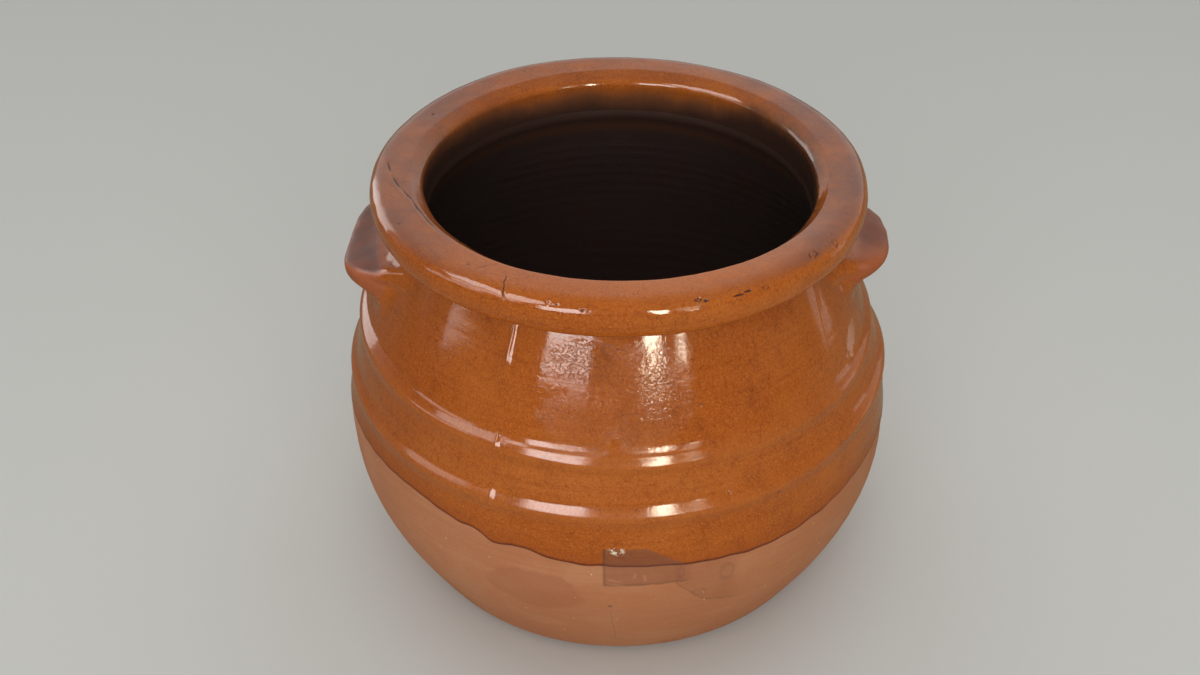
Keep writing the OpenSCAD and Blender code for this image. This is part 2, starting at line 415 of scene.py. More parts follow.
def makeOuterGlaze(finish):
    look = dipLook
    fine = [(run[end], 2.6, 0.14) for run in runLook["runs"][:2] for end in (0, 1)]
    fine += [*look["fineTurns"]] + [(mark[0], 0.9, 0.12) for mark in pitLook["wall"]]
    turns = roundTurns(look["turnStep"], fine)
    edge = dipHeight(turns)
    joined = edge + look["edgeRows"][-1]
    rows = [edge + step for step in look["edgeRows"]]
    rows += [joined + (look["levelFrom"] - joined) * t for t in np.linspace(0, 1, 9)[1:]]
    fineRows = [(mark[1], 1.2, 0.35) for mark in pitLook["wall"][:pitLook["onShow"][0]]]
    fineRows += [(ridge + 2, 9, 0.5) for ridge in wallLook["ridgeHeights"]]
    rows += [level + 0 * edge for level in spread(look["levelFrom"], neckTop, look["rowStep"], fineRows)[1:]]
    heights = np.vstack(rows)
    turnGrid = np.broadcast_to(turns, heights.shape)
    fromEdge = heights - edge
    roundOff = np.sqrt(np.clip(1 - (1 - np.clip(fromEdge / look["edgeRound"], 0, 1)) ** 2, 0, 1))
    bead = look["beadProud"] * bell(fromEdge, *look["beadShape"]) * (1 + 0.5 * ripple(turnGrid, 0, 23, 30, 100))
    coat = (coatOver(turnGrid, heights) + bead) * roundOff - 0.05 * (1 - roundOff)
    crease = look["creaseRound"] * (1 + 0.2 * ripple(turnGrid, 0, 24, 25, 100))
    up = np.clip(heights - (neckTop - crease), 0, crease)
    coat = coat + crease - np.sqrt(np.maximum(crease ** 2 - up ** 2, 0))

    further, out = look["underRim"]  # one more row, hidden under the rim
    heights = np.vstack([heights, heights[-1:] + further])
    coat = np.vstack([coat, coat[-1:] + out])
    turnGrid = np.broadcast_to(turns, heights.shape)
    fromEdge = heights - edge
    burst = 0 * turnGrid
    for turn, height, size, depth in pitLook["wall"]:
        aside = sideways(turnGrid, turn, clayCurve(height))
        dent, dark = pit(aside, heights - height, size, size, depth, 0)
        coat = coat + dent
        burst = np.maximum(burst, dark)
    wall = wallRadius(turnGrid, np.minimum(heights, neckTop))
    outer = place(turnGrid, wall + coat, heights)
    inner = place(turnGrid, wall - look["buried"], heights)[::-1]
    crest = sum(bell(levelled(turnGrid, heights), ridge, look["crestWide"]) for ridge in wallLook["ridgeHeights"])
    sides = {"aboveEdge": (fromEdge, fromEdge[::-1]), "crest": (crest, crest[::-1]), "burst": (burst, 0 * burst)}
    notes = {label: np.vstack(both) for label, both in sides.items()}
    glaze = latticeMesh("outerGlaze", np.vstack([outer, inner]), loop=True, notes=notes)
    return settle(glaze, "honey_glaze", finish, "outer_glaze")


# Rolled rim

rimLook = {
    "topRound": 8.0,  # rounding of the upper outer edge
    "lowRound": 9.5,  # rounding of the lower outer edge
    "crest": (5.6, 1.8),  # how far the top's inner crest stands back from the mouth, its rounding
    "bevelDrop": 4.6,  # drop from the crest to the mouth's wall
    "bevelRound": 4.0,
    "wideBevel": (64, 27, 2.3),  # turn, width and depth of a stretch pressed down inside
    "crown": 0.35,  # how far the middle of the top stands over its edges
    "waver": 0.35,  # how far the roll waves up and down
    "swollen": (-152, 38, 1.3),  # turn, width and depth of a stretch that bulges out and up
    "fingerMarks": 0.12,  # depth of the dents along the roll
    "unevenness": 0.05,  # and of the small ones between them
    # turn and section place at both ends, width and depth of the crack across the roll
    "crack": (-27.0, -24.6, 32.5, 20.3, 0.3, 0.45),
    # turn and radius along the seam of the roll, where it shows on the top
    "seam": (
        (-99, 104.5), (-91.5, 102), (-80.4, 97.4), (-74, 94), (-70.3, 92.6), (-63, 92.3), (-48, 92.3),
        (-36, 92.6),
    ),
    "seamEnds": ((-101, -90), (-58, -44)),  # turns over which it begins and ends
    "seamDepth": 0.45,
    "seamLip": 0.25,  # height of the lip beside it
    "radius": 105,  # at which widths of marks on the roll are measured
    "coat": 0.8,
    "backRows": 44,  # mesh rows of the coat's back
}


def roundedPath(corners):  # a line through corners, each rounded by its radius
    spots = [np.array(spot, float) for spot, _ in corners]
    path = [spots[0]]
    for before, spot, after, (_, radius) in zip(spots, spots[1:], spots[2:], corners[1:]):
        back, on = before - spot, after - spot
        back, on = back / np.hypot(*back), on / np.hypot(*on)
        half = math.acos(np.clip(back @ on, -1, 1)) / 2
        centre = spot + (back + on) / np.hypot(*(back + on)) * radius / math.sin(half)
        reach = radius / math.tan(half)
        first, last = spot + back * reach - centre, spot + on * reach - centre
        start = math.atan2(first[1], first[0])
        swing = (math.atan2(last[1], last[0]) - start + math.pi) % fullTurn - math.pi
        angles = np.linspace(start, start + swing, 24)
        path += [centre + radius * np.array([math.cos(a), math.sin(a)]) for a in angles]
    return np.array(path + [spots[-1]])


def walked(path):  # distance along a path
    return np.concatenate([[0], np.cumsum(np.hypot(*np.diff(path, axis=0).T))])


def restep(path, stops):
    along = walked(path)
    return np.stack([np.interp(stops, along, path[:, axis]) for axis in (0, 1)], -1)


def leaning(path):  # unit normals, to the right of the way along a path
    way = np.gradient(path, axis=0)
    way = way / np.maximum(np.hypot(way[:, :1], way[:, 1:]), 1e-9)
    return np.stack([way[:, 1], -way[:, 0]], -1)


def sweptRound(turn, path, proud, lift=0, every=1):
    # a path of the section taken round the pot, this proud to the right of its way, every so many points
    lean, path = leaning(path)[::every], path[::every]
    return place(turn, path[:, :1] + lean[:, :1] * proud, path[:, 1:] + lean[:, 1:] * proud + lift)


def rimSection():  # from the crease under the roll round into the mouth
    look = rimLook
    crestBack, crestRound = look["crest"]
    crease = clayCurve(neckTop) + coatThick - 1
    return roundedPath([
        ((crease, neckTop), 0), ((rimOut, neckTop), look["lowRound"]), ((rimOut, potTop), look["topRound"]),
        ((mouthRadius + crestBack, potTop), crestRound),
        ((mouthRadius, potTop - look["bevelDrop"]), look["bevelRound"]), ((mouthRadius, neckTop), 0),
    ]), rimOut - look["lowRound"] - crease


def rimMarks(turn, radius, along, onTop):
    # relief of the pits, the crack and the seam of the roll, and how burst open the glaze is there
    look = rimLook
    relief = burst = 0 * turn * along
    for pitTurn, pitAlong, *shape in pitLook["rim"]:
        dent, dark = pit(sideways(turn, pitTurn, look["radius"]), along - pitAlong, *shape)
        relief, burst = relief + dent, np.maximum(burst, dark)
    turnIn, turnOut, alongIn, alongOut, width, depth = look["crack"]
    share = (along - alongIn) / (alongOut - alongIn)
    line = turnIn + (turnOut - turnIn) * share + 0.12 * np.sin(along * 1.3)
    aside = sideways(turn, line, look["radius"] - 1)
    ends = smooth(share, -0.1, 0.15) * (1 - smooth(share, 0.85, 1.1))
    split = bell(aside, 0, width) * ends
    relief = relief - depth * split + 0.1 * bell(aside, 1.0, 0.6) * ends
    offSeam = radius - np.interp(turn, *np.array(look["seam"]).T) + 0.25 * ripple(turn, 0, 43, 90, 100, 12)
    first, last = look["seamEnds"]
    ends = smooth(turn, *first) * (1 - smooth(turn, *last)) * onTop
    groove = bell(offSeam, 0, 0.5) * ends * np.clip(0.7 + 0.5 * ripple(turn, 0, 44, 50, 100), 0.2, 1)
    relief = relief - look["seamDepth"] * groove + look["seamLip"] * bell(offSeam, 1.4, 1.0) * ends
    return relief, np.maximum(burst, np.maximum(split, groove))


def rimSheet(turn, stops, depth, detailed=False):
    # points over the roll at a depth below its surface, and how burst open the glaze is there
    look = rimLook
    section, start = rimSection()
    path = restep(section, stops)
    radius, height, along = path[:, :1], path[:, 1:], stops[:, None] - start
    a = np.radians(turn)
    waver = 0.6 * np.cos(2 * a + 1.1) + 0.4 * np.cos(3 * a - 0.4)
    lift = look["waver"] * waver * smooth(height, neckTop, potTop)
    onTop = smooth(height, potTop - 2, potTop)
    middle = (rimOut - look["topRound"] + mouthRadius + look["crest"][0]) / 2
    proud = look["crown"] * (bell(radius, middle, 6) - 0.6) * onTop - depth
    fade = smooth(walked(section)[-1] - stops[:, None], 0, 9)
    swollenTurn, swollenWide, swollen = look["swollen"]
    outside = smooth(radius, 92, 104) * smooth(height, neckTop, neckTop + 6)
    proud = proud + swollen * bell(turnFrom(turn, swollenTurn), 0, swollenWide) * outside
    proud = proud + look["fingerMarks"] * ripple(turn, along, 41, 16, 22, 14) * fade
    bevelTurn, bevelWidth, bevelDepth = look["wideBevel"]
    inward = np.clip((mouthRadius + 14 - radius) / 12, 0, 1) * smooth(height, neckTop + 4, potTop - 3)
    proud = proud - bevelDepth * bell(turn, bevelTurn, bevelWidth) * inward
    burst = 0 * proud
    if detailed:
        relief, burst = rimMarks(turn, radius, along, onTop)
        proud = proud + look["unevenness"] * ripple(turn, along, 42, 60, 7, 14) * fade + relief
    return sweptRound(turn, path, proud, lift), burst


def makeRim(glazeFinish, clayFinish):
    look = rimLook
    section, start = rimSection()
    length = walked(section)[-1]
    fine = [(mark[1] + start, 1.5, 0.3) for mark in pitLook["rim"][:pitLook["onShow"][1]]]
    fine += [(start + 34, 7, 0.4)]  # the seam
    fineTurns = [(mark[0], 0.7 + mark[2] / 2, 0.17) for mark in pitLook["rim"]]
    fineTurns += [(sum(look["crack"][:2]) / 2, 1.5, 0.11)]
    turns, rows = roundTurns(0.72, fineTurns), np.linspace(0, length, look["backRows"])
    skin, burst = rimSheet(turns, spread(0, length, 0.95, fine), 0, detailed=True)
    back = rimSheet(turns, rows, look["coat"])[0][::-1]
    notes = {"burst": np.vstack([burst, np.zeros(back.shape[:2])]), "aboveEdge": farAbove}
    glaze = latticeMesh("rimGlaze", np.vstack([skin, back]), loop=True, notes=notes)
    settle(glaze, "honey_glaze", glazeFinish, "rim_glaze")
    roll, _ = rimSheet(roundTurns(1.5), rows, look["coat"] - 0.3)
    settle(latticeMesh("rolledRim", roll, loop=True), "bare_clay", clayFinish, "rolled_rim")


# Hollow: glazed inside, with deeper throwing rings

hollowLook = {
    "ringDepth": 0.12,
    "ringPitch": 7.5,
    "dents": 0.25,  # depth of the soft dents left by the hands
    "coat": 0.8,
    "floorRound": 16,  # height over the floor that has closer mesh rows
}


def hollowPath():
    bend = floorTop + hollowLook["floorRound"]
    heights = np.concatenate([np.arange(neckTop, bend, -1.3), np.linspace(bend, floorTop, 26)])
    wall = np.stack([hollowCurve(heights), heights], -1)
    ground = np.stack([np.linspace(wall[-1, 0], 0.4, 60)[1:], np.full(59, floorTop)], -1)
    return np.vstack([wall, ground])


def makeInnerGlaze(finish):
    look = hollowLook
    path = hollowPath()
    radius, along = path[:, :1], walked(path)[:, None]
    turns = roundTurns(0.9)[None, :]
    climb = along / look["ringPitch"] + turns / 360
    rings = np.sin(fullTurn * climb) + 0.35 * np.sin(fullTurn * 2.4 * climb)
    fade = smooth(along, 14, 30) * smooth(radius, 2, 20) * (0.7 + 0.3 * ripple(turns, along, 52, 5, 40))
    dents = ripple(turns, along, 51, 5, 45) * smooth(along, 14, 40) * smooth(radius, 2, 30)
    skin = sweptRound(turns, path, look["ringDepth"] * rings * fade + look["dents"] * dents)
    cover = sweptRound(turns, path, -look["coat"], every=6)[::-1]
    glaze = latticeMesh("innerGlaze", np.vstack([cover, skin]), capped=True)
    return settle(glaze, "hollow_glaze", finish, "inner_glaze")


# Clay body: bare from the dip line down

clayLook = {
    "heelRound": 6.0,
    "wireDepth": 0.12,  # grooves left by the wire that cut the pot off the wheel
    "wirePitch": 3.1,
    "wireFrom": (-150, 40),  # the point beside the pot that the wire's arcs swing about
    "baseHollow": 0.25,  # the base is a little hollow in its middle
    "turning": 0.03,  # fine turning marks on the bare belly
    "bareTo": 96,  # height up to which the mesh rows lie close
    "underGlaze": 0.25,  # how far the clay reaches into the back of the inner glaze
}


def makeClayBody(finish):
    look = clayLook
    turns = roundTurns(0.75)[None, :]
    footRadius = clayCurve(0)
    flat = np.linspace(0.5, footRadius - 0.6, 62)[:, None]
    x, y, _ = np.moveaxis(place(turns, flat, 0), -1, 0)
    sweep = np.hypot(x - look["wireFrom"][0], y - look["wireFrom"][1])
    wire = 0.5 + 0.5 * np.sin(fullTurn * sweep / look["wirePitch"] + 1.5 * np.sin(sweep / 9))
    lifted = look["wireDepth"] * wire + look["baseHollow"] * (1 - (flat / footRadius) ** 2)
    base = place(turns, flat, lifted * (1 - smooth(flat, footRadius - 9, footRadius - 2)))
    heights = np.concatenate([
        look["heelRound"] * (1 - np.cos(np.radians(np.linspace(4, 90, 14)))),
        np.arange(look["heelRound"] + 0.8, look["bareTo"], 0.95),
        np.linspace(look["bareTo"], neckTop, 34)[1:],
    ])[:, None]
    turned = np.sin(heights * 2.9 + 0.6 * np.sin(heights * 0.7) + np.radians(turns)) * smooth(heights, 4, 8)
    side = place(turns, wallRadius(turns, heights) + look["turning"] * turned, heights)
    inner = sweptRound(turns, hollowPath(), look["underGlaze"] - hollowLook["coat"], every=5)
    body = latticeMesh("clayBody", np.vstack([base, side, inner]), capped=True)
    return settle(body, "bare_clay", finish, "clay_body")


# Ears: ledges of clay, slipped on and glazed over

earLook = {
    "topHeight": 165.0,
    "topMore": 2.6,  # how much higher the ledge's top lies
    "underSlope": 0.4,  # climb of the underside from the wall to the tip
    "tipSoft": 12.0,  # rounding of the tip into the underside
    "slipLow": 147.0,  # bottom of the slip on the wall
    "slipThick": 1.2,
    "slipEdge": 4.0,
    # for the left and the right ear: extra reach, lean to the front, rounding of the corners from above,
    # extra width at the front, thickness
    "plan": {-1: (1.7, 10.0, 14.0, 4.6, 16.0), 1: (1.9, 6.5, 17.0, 3.6, 11.0)},
    "flare": 0.04,  # widening from the tip to the wall
    "backMore": 6.0,  # extra width at the back
    "buried": 0.6,  # how far the sweep's border sinks into the glaze of the wall
    "slipBuried": 0.4,  # and the slip into the clay of the wall
    "coreDown": 0.7,  # how far the clay lies below the back of the glaze
    "edgeSoft": 4.5,  # rounding of the ledge's upper edges
    "fillet": 8.0,  # sweep of the ledge's underside into the wall
    "upperFillet": 15.0,  # and of its top
    "dish": 0.9,  # dent pressed into the top by the thumb
    "lumps": 0.28,
    "grain": 0.1,
    # the line behind each ear that its skin's rays start from: distance out, below the top, short of each side
    "line": (76.0, 9, 12),
    "coreLine": (9.0, 4.5, 10),  # the same for its clay, but with the distance in from the tip
}


class Ear:
    def __init__(self, side, node):  # side is -1 on the left and 1 on the right
        low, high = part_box(node)
        more, self.lean, self.cornerSoft, self.frontMore, self.thick = earLook["plan"][side]
        self.side = side
        self.half = (high.y - low.y) / 2 / metre
        self.wallAt = clayCurve(earLook["topHeight"])
        self.tip = max(abs(low.x), abs(high.x)) / metre + coatThick + more

    def turnOf(self, out, across):
        return np.degrees(np.arctan2(self.side * out, -across))

    def pad(self, across, height):  # share of the slip's thickness over the wall
        look = earLook
        sides = 1 - smooth(np.abs(across), self.half - 2, self.half + look["slipEdge"])
        above = smooth(height, look["topHeight"] - 1, look["topHeight"] + look["slipEdge"])
        return sides * smooth(height, look["slipLow"], look["slipLow"] + 5) * (1 - above)

    def ledge(self, out, across, height, depth):
        # distance outside the ledge, at a depth below its glazed surface
        look = earLook
        reach = np.hypot(out, across + self.lean)
        lumps = look["lumps"] * np.sin(across / 7 + self.side) * np.cos(out / 6 + height / 8)
        grain = look["grain"] * np.sin(across / 1.9 + height / 2.6) * np.cos(out / 2.1 - height / 1.7)
        dish = look["dish"] * bell(across, -10, self.half * 0.5) * bell(out, self.tip - 9, 8)
        topHeight = look["topHeight"] + look["topMore"]
        top = height - (topHeight + coatThick) + dish
        under = topHeight - self.thick - look["underSlope"] * (self.tip - reach - 6) - height
        half = self.half + coatThick + np.where(across > 0, look["backMore"], self.frontMore)
        flank = np.abs(across) - half - look["flare"] * (self.tip - out)
        plan = softMax(reach - self.tip, flank, self.cornerSoft)
        return softMax(softMax(plan, under, look["tipSoft"]), top, look["edgeSoft"]) + depth + lumps + grain

    def wallGap(self, out, across, height, proud):
        slip = earLook["slipThick"] * self.pad(across, height)
        return np.hypot(out, across) - wallRadius(self.turnOf(out, across), height) - proud - slip

    def skinGap(self, out, across, height, depth, proud):
        # distance outside ear and wall joined by a fillet
        look = earLook
        coat = coatOver(self.turnOf(out, across), height)
        ledge = self.ledge(out, across, height, depth)
        wall = self.wallGap(out, across, height, coat * proud) + look["buried"] * smooth(ledge, 6, 12)
        onTop = smooth(height, look["topHeight"] - 5, look["topHeight"])
        return softMin(wall, ledge, look["fillet"] + (look["upperFillet"] - look["fillet"]) * onTop)

    def coreGap(self, *spot):  # distance outside the ledge's clay, cut off at the slip
        ledge = self.ledge(*spot, coatThick + earLook["coreDown"])
        return np.maximum(ledge, -self.wallGap(*spot, -earLook["slipBuried"]))

    def met(self, gap, start, way, near, far):  # where gap is nothing, between near and far along a way
        near, far = (np.full(way[0].shape, end) for end in (near, far))
        for _ in range(26):
            half = (near + far) / 2
            outside = gap(*(begin + half * part for begin, part in zip(start, way))) > 0
            near, far = np.where(outside, near, half), np.where(outside, half, far)
        out, across, height = (begin + near * part for begin, part in zip(start, way))
        return np.stack([self.side * out, across, height], -1)

    def skin(self, depth, proud):  # rays from a line behind the ear
        startOut, below, inset = earLook["line"]
        span = self.half - inset
        bend = spread(0, 81, 1.3)
        swings = np.concatenate([-span - bend[::-1], spread(-span, span, 1.0)[1:-1], span + bend])
        lifts = spread(-38, 49.5, 1.3, [(20, 11, 0.45), (-6, 10, 0.4)])
        swing, lift = np.meshgrid(swings, np.radians(lifts), indexing="ij")
        across = np.clip(swing, -span, span)  # the first part of each swing walks along the line
        swing = np.radians(swing - across)
        along = startOut * np.cos(swing) + across * np.sin(swing)
        toWall = np.sqrt(along ** 2 + self.wallAt ** 2 - startOut ** 2 - across ** 2) - along
        climb = np.tan(lift) * np.minimum((self.wallAt - startOut) / toWall, 1)
        start = (startOut, across, earLook["topHeight"] - below)
        way = (np.cos(swing), np.sin(swing), climb)
        return self.met(lambda *spot: self.skinGap(*spot, depth, proud), start, way, 0.5, 56.0)

    def core(self):  # the ledge's clay, from rays all round a line inside it
        back, below, inset = earLook["coreLine"]
        around = np.linspace(-180, 180, 72, endpoint=False)
        swing, lift = np.meshgrid(np.radians(around), np.radians(np.linspace(-86, 86, 30)))
        across = (self.half - inset) * np.clip(np.sin(swing) * 1.6, -1, 1)
        start = (self.tip - back, across, earLook["topHeight"] - below)
        way = (np.cos(lift) * np.cos(swing), np.cos(lift) * np.sin(swing), np.sin(lift))
        return self.met(self.coreGap, start, way, 0.0, 40.0)


def makeEar(side, label, glazeFinish, slipFinish, clayFinish):
    look, node = earLook, label + "_ear"
    ear = Ear(side, node)
    outer, inner = ear.skin(0, 1), ear.skin(coatThick, 0)
    out, across, height = np.moveaxis(outer, -1, 0)
    onEar = 1 - smooth(ear.ledge(side * out, across, height, 0), 0.15, 1.2)
    glaze = shellMesh(label + "EarGlaze", outer, inner, {"aboveEdge": farAbove, "ear": onEar})
    settle(glaze, "honey_glaze", glazeFinish, node + "_glaze")

    settle(latticeMesh(label + "Ear", ear.core(), capped=True), "bare_clay", clayFinish, node)

    reach = ear.half + look["slipEdge"]
    across, height = np.meshgrid(
        np.linspace(-reach, reach, 44), np.linspace(look["slipLow"], look["topHeight"] + look["slipEdge"], 18),
    )
    turn = ear.turnOf(np.sqrt(clayCurve(height) ** 2 - across ** 2), across)
    wall = wallRadius(turn, height)
    front = place(turn, wall + look["slipThick"] * ear.pad(across, height), height)
    back = place(turn, wall - look["slipBuried"], height)
    settle(shellMesh(label + "EarSlip", front, back), "slip", slipFinish, node + "_slip")


# Finishes; their lengths are in metres, as Blender's coordinates are

class Wire:  # a socket of a node, open to arithmetic
    def __init__(self, nodes, socket):
        self.nodes = nodes
        self.socket = socket

    def math(self, operation, *values, clamp=False):
        settings = {"operation": operation, "use_clamp": clamp}
        return self.nodes.add("ShaderNodeMath", settings, dict(enumerate(values)))

    def __add__(self, other): return self.math("ADD", self, other)
    def __sub__(self, other): return self.math("SUBTRACT", self, other)
    def __rsub__(self, other): return self.math("SUBTRACT", other, self)
    def __mul__(self, other): return self.math("MULTIPLY", self, other)
    def __truediv__(self, other): return self.math("DIVIDE", self, other)
    def __rtruediv__(self, other): return self.math("DIVIDE", other, self)
    def __abs__(self): return self.math("ABSOLUTE", self)
    __radd__ = __add__
    __rmul__ = __mul__

    def root(self): return self.math("SQRT", self)
    def clamped(self): return self.math("ADD", self, 0, clamp=True)
    def atLeast(self, other): return self.math("MAXIMUM", self, other)

    def rise(self, start, end, low=0, high=1):  # low before start, high after end, eased between them
        return self.nodes.add(
            "ShaderNodeMapRange", {"interpolation_type": "SMOOTHSTEP"},
            {"Value": self, "From Min": start, "From Max": end, "To Min": low, "To Max": high},
        )

    def fall(self, start, end): return self.rise(start, end, 1, 0)

    def band(self, middle, width):  # 1 at middle, 0 a width away from it
        return abs(self - middle).fall(0, width)


class Nodes:  # the nodes of a material or of the world
    def __init__(self, tree):
        self.nodes, self.links = tree.nodes, tree.links
        self.nodes.clear()

    def add(self, kind, settings=None, inputs=None, output=0):
        node = self.nodes.new(kind)
        for key, value in (settings or {}).items():
            setattr(node, key, value)
        for key, value in (inputs or {}).items():
            if isinstance(value, Wire):
                self.links.new(value.socket, node.inputs[key])
            else:
                node.inputs[key].default_value = value
        if node.outputs:
            return Wire(self, node.outputs[output])

    def part(self, vector, axis):
        return self.add("ShaderNodeSeparateXYZ", None, {0: vector}, axis)


class Finish(Nodes):  # one material
    def __init__(self, name, colour=None):
        self.material = bpy.data.materials.new(name)
        self.material.use_nodes = True
        super().__init__(self.material.node_tree)
        self.spot = self.add("ShaderNodeTexCoord", output="Object")
        self.x, self.y, self.z = (self.part(self.spot, axis) for axis in "XYZ")
        self.colour = colour

    def note(self, label):  # a value kept at the mesh's points, 0 where it has none
        return self.add("ShaderNodeAttribute", {"attribute_name": label}, output="Fac")

    def stretched(self, across, upright):  # coordinates scaled to a grain's size
        scale = (1 / across, 1 / across, 1 / upright)
        return self.add("ShaderNodeVectorMath", {"operation": "MULTIPLY"}, {0: self.spot, 1: scale})

    def noise(self, across, upright=None, detail=3.0, rough=0.55, warp=0.0):
        return self.add("ShaderNodeTexNoise", None, {
            "Vector": self.stretched(across, upright or across), "Scale": 1.0,
            "Detail": detail, "Roughness": rough, "Distortion": warp,
        })

    def wobble(self, *size):  # noise about 0
        return self.noise(*size) - 0.5

    def cells(self, size, feature="F1", chance=1.0):
        inputs = {"Vector": self.stretched(size, size), "Scale": 1.0, "Randomness": chance}
        return self.add("ShaderNodeTexVoronoi", {"feature": feature}, inputs, "Distance")

    def mix(self, share, first, second):  # a Mix node's colours are its sockets 6 and 7, and 2 behind it
        return self.add("ShaderNodeMix", {"data_type": "RGBA"}, {0: share, 6: first, 7: second}, 2)

    def lay(self, *layers):  # lays colours over the colour so far, each by its share
        for share, colour in layers:
            self.colour = self.mix(share, self.colour, colour)

    def away(self):  # distance from the pot's axis
        return (self.x * self.x + self.y * self.y).root()

    def front(self):  # 1 on the front of the pot
        return (-1 * self.y).rise(0.02, 0.05)

    def oval(self, x, z, middleX, middleZ, wide, high, slope=0):
        # 1 on the border of an oval, 0 in its middle; a slope tilts it
        if slope:
            z = z - slope * (x - middleX)
        dx, dz = (x - middleX) / wide, (z - middleZ) / high
        return (dx * dx + dz * dz).root()

    def blot(self, middleX, middleZ, wide, high, soft, ragged):  # a ragged spot on the front, in mm
        away = self.oval(self.x / metre, self.z / metre, middleX, middleZ, wide, high)
        return (away + ragged).fall(1 - soft, 1 + soft) * self.front()

    def finished(self, roughness, bump=None, **constants):
        # the material, with fine relief from a height, its strength and its depth
        inputs = {"Base Color": self.colour, "Roughness": roughness, **constants}
        if bump:
            relief = dict(zip(("Height", "Strength", "Distance"), bump))
            inputs["Normal"] = self.add("ShaderNodeBump", None, relief, "Normal")
        shader = self.add("ShaderNodeBsdfPrincipled", None, inputs, "BSDF")
        self.add("ShaderNodeOutputMaterial", None, {"Surface": shader})
        return self.material


# marks on the front of the pot, in mm: x to the right and height
markLook = {
    "film": {"left": -6.8, "right": (25, 34), "top": 89.6, "bend": 12, "fall": 0.62, "low": 68.8},
    "secondFilm": {
        "left": 24, "right": (46, 54), "corner": 25, "high": 67, "fall": 1.2,
        "floor": (36.6, 52.7, 0.4), "top": 79,
    },
    # middle and half sizes of rings dried beside the films
    "rings": ((34.6, 59.8, 3.6, 2.6), (46.5, 69.0, 3.4, 5.5), (26.6, 74.0, 1.6, 3.6)),
    # middle, half sizes and slope of pale streaks
    "streaks": (
        (-2.2, 72.0, 3.4, 0.55, -0.25), (6.6, 74.6, 0.6, 2.2, 0.5), (11.0, 73.0, 0.9, 2.4, 0.2),
        (-1.5, 69.6, 4.5, 0.4, -0.1),
    ),
    "glitter": (-1.3, 88.4, 4.4, 2.6),
    "spot": (-3.9, 54.5, 1.3, 0.9),
    "line": (-3.9, 54.0, -0.9, 14.0, 0.28),  # both ends and half width
    "smudge": (-36.0, 60.0, 22.0, 13.0),
    # painted highlight on the right of the shoulder: middle and half sizes
    "paintedGlint": (102.6, 138.0, 2.2, 5.5),
    "scratch": (-53.6, -81.3, 4.8, 0.5, 0.43),  # across the rim's top: x and y, half sizes, slope
    # patches of the shoulder where the glaze has a grain, and where it is scratched
    "grainy": (12.0, 153.0, 14.0, 16.0),
    "lessGrainy": (-16.0, 143.0, 13.0, 10.0),
    "scratched": (-14.0, 166.0, 13.0, 8.0),
}

glazeLook = {
    "amber": tone(177, 89, 24),
    "light": tone(188, 102, 36),
    "deep": tone(146, 66, 20),
    "edge": tone(98, 36, 24),
    "crest": tone(184, 103, 44),
    "speck": tone(56, 24, 14),
    "fleck": tone(208, 132, 64),
    "dull": tone(122, 76, 58),  # the rim's top, where the glaze is thin and matt
    # painted shade and dark reflection on the ears' tops, under the rim
    "earTopShade": tone(104, 68, 59),
    "ringDark": tone(96, 58, 54),  # darker in a ring round the rim's top
    "paintedGlint": tone(218, 164, 138),  # painted highlight: a pale reflection on the right of the shoulder
    "brick": tone(166, 84, 44),  # the ears' rough front
    "film": tone(118, 72, 52),
    "inside": (tone(122, 74, 46), tone(62, 43, 35)),  # below the lip and down at the neck
    "lip": (0.0866, 0.092),  # radii over which the inside begins
    "darkRingPlace": (0.1035, 0.0065),  # radius and half width of the darker ring
    # heights over which these begin, and for the crease under the rim also where it ends
    "insideHeights": ((0.188, 0.199), (0.182, 0.1935)),
    "rimTop": (0.1965, 0.2),
    "underRim": ((0.176, 0.1825), (0.1835, 0.187)),
    "lowRidge": (0.112, 0.119),
    # heights over the dip line, in mm, up to which the glaze is thick and where it has pooled
    "nearEdge": (1.0, 11.0),
    "pooled": (0.7, 2.5),
    # grains of the glaze: size across and upright, detail, roughness, warp
    "clouds": (0.045, 0.03, 4, 0.6),
    "wipes": (0.05, 0.0016, 4, 0.6, 0.3),
    "mottle": (0.0026, 0.0022, 3, 0.6),
    "grain": (0.0009, 0.0009, 3, 0.6),
    "patches": (0.018, 0.02, 4, 0.65),
    "flaws": (0.0012, 0.0009, 4, 0.8),
    "fine": (0.0009, 0.0008, 2, 0.6),
    "roughness": 0.065,
    "reliefDepth": 0.00007,
}

hollowColours = {
    "deep": tone(66, 52, 48),
    "warm": tone(78, 54, 44),
}

clayColours = {
    "body": tone(186, 117, 72),
    "pale": tone(196, 134, 92),
    "red": tone(164, 92, 54),
    "stain": tone(148, 86, 54),
    "fleck": tone(232, 214, 186),
    "dark": tone(84, 56, 44),
}

slipColours = (tone(148, 89, 58), tone(166, 104, 70))


def intoHollow(f):  # the glaze darkens over the lip into the pot
    right = f.x.rise(0.045, 0.075)
    ragged = f.wobble(0.0035, None, 3, 0.7) * right
    inside = (f.away() + ragged * 0.008).fall(*glazeLook["lip"])
    drips = f.wobble(0.004, 0.03, 3) * f.x.rise(0.02, 0.06) * 0.005
    height = f.z + f.wobble(0.016, 0.02, 3) * 0.008 + drips
    height -= abs(f.x).rise(0.03, 0.07) * 0.005 + right * 0.003
    for colour, heights in zip(glazeLook["inside"], glazeLook["insideHeights"]):
        f.lay((inside * height.fall(*heights), colour))


